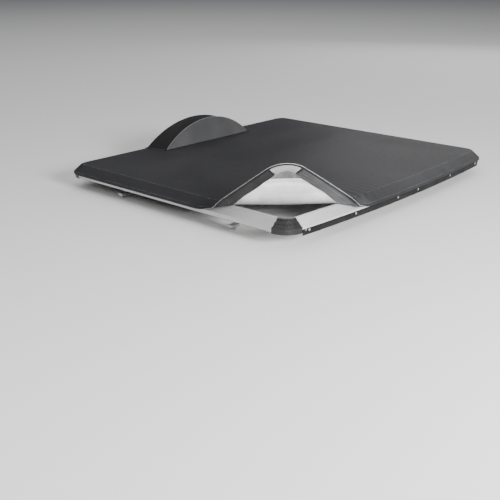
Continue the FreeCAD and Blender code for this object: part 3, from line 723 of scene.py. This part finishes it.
# %% Patch inside the corner
square_corner = np.array([-square_start, -corner_y])
corner_past = float(fold_distance(square_corner))
corner_beside = float((square_corner - fold_point[:2]) @ sideways[:2])
patch_radius, patch_from = 0.0565, corner_past + 0.020
patch_half = math.sqrt(patch_radius ** 2 - (patch_from - corner_past) ** 2) * 0.995
patch_columns, patch_rows = 33, 9
beside = np.linspace(-patch_half, patch_half, patch_columns)
patch_to = corner_past + np.sqrt(patch_radius ** 2 - beside ** 2)
patch_gap, patch_thickness = 0.0004, 0.0009
patch_past = patch_from + np.linspace(0, 1, patch_rows)[:, None] * (patch_to - patch_from)[None, :]
patch_beside = np.broadcast_to(beside + corner_beside, patch_past.shape)
patch_flat = (fold_point[:2] + patch_past[..., None] * outward[:2] + patch_beside[..., None] * sideways[:2])
patch_flat = patch_flat.reshape(-1, 2)
past_square = np.abs(patch_flat) - (square_start, corner_y)
beyond_rim = np.where((past_square > 0).all(axis=1), np.hypot(*past_square.T), past_square.max(axis=1))
beyond_rim = beyond_rim - square_size
patch_drop = edge_profile(np.clip(beyond_rim, 0, band_run), np.ones(len(patch_flat)))[1]
patch_height = top_z + hang(patch_flat) - patch_drop - cloth_thickness - patch_gap
corner_patch = thin_cloth("corner_patch", turned_back(np.column_stack([patch_flat, patch_height])),
                          turned_back(np.column_stack([patch_flat, patch_height - patch_thickness])),
                          grid_faces(patch_rows, patch_columns), [corner_patch_cloth], back=0)
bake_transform(corner_patch)
print("corner patch: %.0f by %.0f mm" % (2000 * patch_half, 1000 * (patch_to.max() - patch_from)))

# %% [markdown]
# Thread shows as short raised dashes. A texture of dashes would blur close up,
# so each stitch is a small eight-sided bead of its own, and one mesh holds a
# whole seam. One row runs along the crest and one just above the hem.

# %% Seams of the edge band
stitch_pitch, stitch_length, stitch_width, stitch_height = 0.0055, 0.0038, 0.0009, 0.0005


def bead_seam(name, path, normals, material):
    """One mesh of stitches laid end to end along a path."""
    steps = np.linalg.norm(np.diff(path, axis=0), axis=1)
    travel = np.concatenate([[0], np.cumsum(steps)])
    centres = np.arange(stitch_pitch / 2, travel[-1], stitch_pitch)
    points, faces = [], []
    for centre in centres:
        spots = [np.array([np.interp(centre + d, travel, path[:, a]) for a in range(3)])
                 for d in (-stitch_length / 2, 0, stitch_length / 2)]
        up = np.array([np.interp(centre, travel, normals[:, a]) for a in range(3)])
        up /= np.linalg.norm(up)
        ahead = spots[2] - spots[0]
        aside = np.cross(up, ahead)
        aside *= stitch_width / 2 / (np.linalg.norm(aside) + 1e-9)
        first = len(points)
        points += [spots[0], spots[1] + aside, spots[1] + up * stitch_height, spots[1] - aside,
                   spots[1] - up * stitch_height * 0.4, spots[2]]
        for a, b in ((1, 2), (2, 3), (3, 4), (4, 1)):
            faces += [(first, first + b, first + a), (first + 5, first + a, first + b)]
    return new_piece(name, [tuple(p) for p in points], faces, [material])


def seam_path(which, run):
    """Path of a seam on the band's outer face, and the directions that stand off it."""
    which = np.array(which)
    runs = np.full(len(which), run)
    path = turned_back(on_band(which, runs, 0.0001))
    above = turned_back(on_band(which, runs, -0.0009))
    return path, above - path


crest_seam_run, hem_seam_run = 0.0045, band_run - skirt_run - turn_run - 0.0035
seams = {name: [] for name in lengths}
start_k = next(k for k in left_edge if rim_rows[k] == row_of[rear_cut])
walk = list(range(start_k, len(rim))) + list(range(start_k + 1))
for name, (first, final, bodies, joint, node_name) in lengths.items():
    inside = [k for k in walk if first <= rim_rows[k] <= final]
    turns = [walk.index(k) for k in inside]
    breaks = [0] + [n + 1 for n in range(len(inside) - 1) if abs(turns[n + 1] - turns[n]) > 1]
    for number, (a, b) in enumerate(zip(breaks, breaks[1:] + [len(inside)])):
        for label, run in (("crest", crest_seam_run), ("hem", hem_seam_run)):
            if b - a < 3:
                continue
            seam = bead_seam("%s_%s_seam_%d" % (name, label, number), *seam_path(inside[a:b], run), thread)
            bend_with_fold(seam, joint)
            seams[name].append(seam)
print("seams:", {name: len(found) for name, found in seams.items()})

# %% [markdown]
# A cross bow lies in a pocket of woven tape sewn under the cloth. The pocket's
# top is pressed flat against the cloth, and its sides and bottom hang a little
# loose, with small folds where the tape was eased on. A tube with the bow's
# rounded section and a changing looseness gives that.

# %% Sleeves of the bows
section_radius, tape_thickness, tape_looseness = 0.0043, 0.0009, 0.0011


def bow_sleeve(name, node_name, body):
    """Closed thin pocket round a bow, loose at its sides and bottom."""
    low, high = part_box(node_name)
    half_wide, half_high = 0.5 * (high.y - low.y), 0.5 * (high.z - low.z)
    middle_y, middle_z = 0.5 * (high.y + low.y), 0.5 * (high.z + low.z)
    half_length = 0.5 * (high.x - low.x)
    corner = np.repeat([(1, 1), (-1, 1), (-1, -1), (1, -1)], 6, axis=0)
    turn = np.concatenate([np.linspace(q * np.pi / 2, (q + 1) * np.pi / 2, 6) for q in range(4)])
    facing = np.column_stack([np.cos(turn), np.sin(turn)])
    core = corner * (half_wide - section_radius, half_high - section_radius)
    stations = np.linspace(low.x, high.x, 181)
    hanging = smooth(0.5 - 0.7 * facing[:, 1])
    outer, inner = [], []
    for x in stations:
        ends = smooth((half_length - abs(x - 0.5 * (low.x + high.x))) / 0.03)
        folds = 0.5 + 0.5 * np.sin(x * 160 + 3 * np.sin(x * 23) + 2 * turn)
        loose = tape_looseness * hanging * folds * ends
        for layer, depth in ((outer, 0.0), (inner, tape_thickness)):
            spot = (middle_y, middle_z) + core + facing * (section_radius - depth + loose)[:, None]
            layer.append(np.column_stack([np.full(len(turn), x), spot]))
    piece = thin_cloth(name, np.concatenate(outer), np.concatenate(inner),
                       grid_faces(len(stations), len(turn), closed=True), [sleeve_cloth], back=0)
    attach(piece, body)
    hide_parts(node_name)
    return piece


for bow, body in (("rear_bow", "cover_middle"), ("front_bow", "root")):
    sleeve = bow_sleeve(bow + "_pocket", bow + "_sleeve", body)
    print(sleeve.name, "%.3f m long" % sleeve.dimensions.x)

# %% [markdown]
# The hump is a small tent for the top of a spare wheel. A curved top cloth is
# sewn to an upright cloth at each end, with piping in the seams, and two bent
# rods hold it up. The curved cloth dips a little between the rods.

# %% Arcs of the hump
hump_halves, hump_heights = (0.270, 0.300), (0.107, 0.101)


def hump_arc(share):
    """Radius, centre height and half angle of the hump at a share of its depth."""
    half = hump_halves[0] + share * (hump_halves[1] - hump_halves[0])
    height = hump_heights[0] + share * (hump_heights[1] - hump_heights[0])
    radius = (half ** 2 + height ** 2) / (2 * height)
    return radius, top_z + height - radius, math.asin(half / radius)


arch_columns, arch_rows = 73, 17
dip, ripple_rise = 0.0045, 0.0009
arch_outer, arch_inner = [], []
for step in range(arch_rows):
    share = step / (arch_rows - 1)
    radius, centre_z, reach = hump_arc(share)
    turn = np.linspace(-reach, reach, arch_columns)
    slack = dip * math.sin(math.pi * share) * smooth(1.6 - 1.6 * np.abs(turn) / reach)
    ripple = np.sin(turn * 41 + 5 * share) * math.sin(math.pi * share)
    slack += ripple_rise * ripple * smooth(2 - 2 * np.abs(turn) / reach)
    y = hump_rear_y + share * (hump_front_y - hump_rear_y)
    for layer, inset in ((arch_outer, 0.0), (arch_inner, cloth_thickness)):
        span = radius - slack - inset
        layer.append(np.column_stack([hump_x + span * np.sin(turn), np.full(arch_columns, y),
                                      np.maximum(centre_z + span * np.cos(turn), top_z + 0.0002)]))
hump_arch = thin_cloth("hump_arch_cloth", np.concatenate(arch_outer), np.concatenate(arch_inner),
                       grid_faces(arch_rows, arch_columns, flip=True), [hump_vinyl, cloth_backing])
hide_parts("hump_arch_panel")


# %% Upright ends of the hump
def hump_end(name, share, facing, dish, material, node_name):
    """Upright cloth that fills one arc of the hump, a little dished."""
    radius, centre_z, reach = hump_arc(share)
    turn = np.linspace(-reach * 0.985, reach * 0.985, arch_columns)
    edge_y = hump_rear_y + share * (hump_front_y - hump_rear_y)
    levels = 13
    outer, inner = [], []
    for step in range(levels):
        up = step / (levels - 1)
        x = hump_x + (radius - 0.0004) * np.sin(turn)
        crown = centre_z + (radius - 0.0004) * np.cos(turn)
        z = top_z + 0.0002 + up * (crown - top_z - 0.0002)
        inwards = math.sin(math.pi * up) * np.cos(turn / reach * math.pi / 2)
        hollow = (dish + 0.0007 * np.sin(turn * 26 + 3 * up)) * inwards
        outer.append(np.column_stack([x, edge_y + facing * (0.0012 - hollow), z]))
        inner.append(np.column_stack([x, edge_y - facing * (0.0001 + hollow), z]))
    faces = grid_faces(levels, arch_columns, flip=True)
    if facing > 0:
        faces = [tuple(reversed(face)) for face in faces]
    piece = thin_cloth(name, np.concatenate(outer), np.concatenate(inner), faces, [material, cloth_backing])
    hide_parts(node_name)
    return piece


hump_rear = hump_end("hump_rear_cloth", 0.0, -1, 0.0030, hump_end_cloth, "hump_rear_panel")
hump_front = hump_end("hump_front_cloth", 1.0, 1, 0.0030, hump_vinyl, "hump_front_panel")


# %% Piping in the hump's seams
def tube(name, path, radius, material, sides=8):
    """Closed tube along a path that lies in one upright plane across the cover."""
    ahead = np.gradient(path, axis=0)
    ahead /= np.linalg.norm(ahead, axis=1)[:, None]
    across_axis = np.array([0.0, 1.0, 0.0])
    over = np.cross(across_axis, ahead)
    points = []
    for spot, up in zip(path, over):
        points += [tuple(spot + radius * (math.cos(t) * up + math.sin(t) * across_axis))
                   for t in np.linspace(0, 2 * math.pi, sides, endpoint=False)]
    last = (len(path) - 1) * sides
    ends = [tuple(range(sides))[::-1], tuple(range(last, last + sides))]
    return new_piece(name, points, grid_faces(len(path), sides, closed=True, flip=True) + ends, [material])


piping_radius, piping_points = 0.0015, 90
hump_trim = []
for name, share, shift, material in (("hump_rear_piping", 0.0, -0.0008, piping_vinyl),
                                     ("hump_front_piping", 1.0, 0.0008, hump_vinyl)):
    radius, centre_z, reach = hump_arc(share)
    turn = np.linspace(-reach * 0.992, reach * 0.992, piping_points)
    y = hump_rear_y + share * (hump_front_y - hump_rear_y) + shift
    path = np.column_stack([hump_x + radius * np.sin(turn), np.full(piping_points, y),
                            centre_z + radius * np.cos(turn)])
    hump_trim.append(tube(name, path, piping_radius, material))
print("piping:", [piece.name for piece in hump_trim])

# %% Flange round the hump's foot
flange_width, flange_lift, flange_thickness = 0.0105, 0.0004, 0.0009
foot = [(-hump_halves[0], hump_rear_y), (hump_halves[0], hump_rear_y), (hump_halves[1], hump_front_y),
        (-hump_halves[1], hump_front_y)]
foot_out = [(-1, -1), (1, -1), (1, 1), (-1, 1)]
foot_steps = (50, 12, 50, 12)
inner_line, outer_line = [], []
for n in range(4):
    (x0, y0), (x1, y1) = foot[n], foot[(n + 1) % 4]
    (u0, v0), (u1, v1) = foot_out[n], foot_out[(n + 1) % 4]
    for share in (step / foot_steps[n] for step in range(foot_steps[n])):
        for line, wide in ((inner_line, 0.0), (outer_line, flange_width)):
            line.append((hump_x + x0 + wide * u0 + share * (x1 + wide * u1 - x0 - wide * u0),
                         y0 + wide * v0 + share * (y1 + wide * v1 - y0 - wide * v0)))
inner_line, outer_line = np.array(inner_line), np.array(outer_line)
round_foot = len(inner_line)
flange_flat = np.concatenate([inner_line, 0.5 * (inner_line + outer_line), outer_line])
flange_base = top_z + hang(flange_flat) + flange_lift
hump_flange = thin_cloth("hump_foot_flange", np.column_stack([flange_flat, flange_base + flange_thickness]),
                         np.column_stack([flange_flat, flange_base]), grid_faces(3, round_foot, closed=True),
                         [hump_vinyl], back=0)
flange_middle = flange_flat[round_foot:2 * round_foot]
seam_line = np.column_stack([flange_middle, top_z + hang(flange_middle) + flange_lift + flange_thickness])
seam_line = np.concatenate([seam_line, seam_line[:1]])
flange_seam = bead_seam("hump_foot_seam", seam_line, np.tile([0.0, 0.0, 1.0], (len(seam_line), 1)), thread)
for piece in [hump_arch, hump_rear, hump_front, hump_flange, flange_seam] + hump_trim:
    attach(piece, "root")

# %% [markdown]
# The floor is pale and plain, and stands just under the lowest clamp. The light
# is that of a studio with large soft boxes. One stands behind the cover for the
# turned-back corner, and a weaker one fills in from its left side. Two on the
# far side leave a soft sheen on the vinyl's top and on its rear band. A very
# large one hangs overhead, so that the floor stays pale a long way out.

# %% Floor
floor_half = 14.0
floor_z = cad_low.z - 0.001
floor_paint = bpy.data.materials.new("studio_floor")
floor_paint.use_nodes = True
floor_shader = floor_paint.node_tree.nodes["Principled BSDF"]
floor_shader.inputs["Base Color"].default_value = (0.80, 0.80, 0.79, 1.0)
floor_shader.inputs["Roughness"].default_value = 0.85
floor_corners = [(a * floor_half, b * floor_half, floor_z) for a, b in ((-1, -1), (1, -1), (1, 1), (-1, 1))]
studio_floor = new_piece("studio_floor", floor_corners, [(0, 1, 2, 3)], [floor_paint])
print("floor at %.3f m" % floor_z)


# %% Soft boxes
def soft_box(name, place, target, width, height, power):
    """Rectangular area light that faces a target."""
    light = bpy.data.lights.new(name, "AREA")
    light.shape, light.size, light.size_y = "RECTANGLE", width, height
    light.energy = power
    box = bpy.data.objects.new(name, light)
    box.location = place
    box.rotation_euler = (Vector(target) - Vector(place)).to_track_quat("-Z", "Y").to_euler()
    bpy.context.scene.collection.objects.link(box)


soft_box("key_box", (-1.1, -3.9, 1.5), (-0.4, -0.4, 0.1), 1.3, 0.9, 320)
soft_box("fill_box", (-3.6, -1.2, 2.2), (-0.4, -0.3, 0.1), 1.6, 1.2, 50)
soft_box("sheen_box", (5.0, 1.9, 1.8), (0.4, -0.2, 0.0), 2.6, 1.5, 20)
soft_box("band_box", (5.5, -0.8, 2.9), (0.4, -0.6, 0.0), 2.4, 1.5, 55)
soft_box("top_box", (1.0, 1.6, 7.0), (1.0, 1.6, 0.0), 14.0, 14.0, 480)
world = bpy.data.worlds.new("studio")
world.use_nodes = True
sky = world.node_tree.nodes["Background"]
sky.inputs["Color"].default_value = (0.92, 0.94, 1.0, 1.0)
sky.inputs["Strength"].default_value = 0.14
bpy.context.scene.world = world
print("lights:", len(bpy.data.lights))

# %% Camera
lens = bpy.data.cameras.new("camera")
lens.lens, lens.sensor_width = 57.56, 36.0
camera = bpy.data.objects.new("camera", lens)
camera.location = (-2.6391, -2.1451, 0.8843)
camera.rotation_mode = "QUATERNION"
camera.rotation_quaternion = Vector((0.70140546, 0.62116247, -0.34955338)).to_track_quat("-Z", "Y")
bpy.context.scene.collection.objects.link(camera)
bpy.context.scene.camera = camera
print("camera with a %.0f mm lens" % lens.lens)
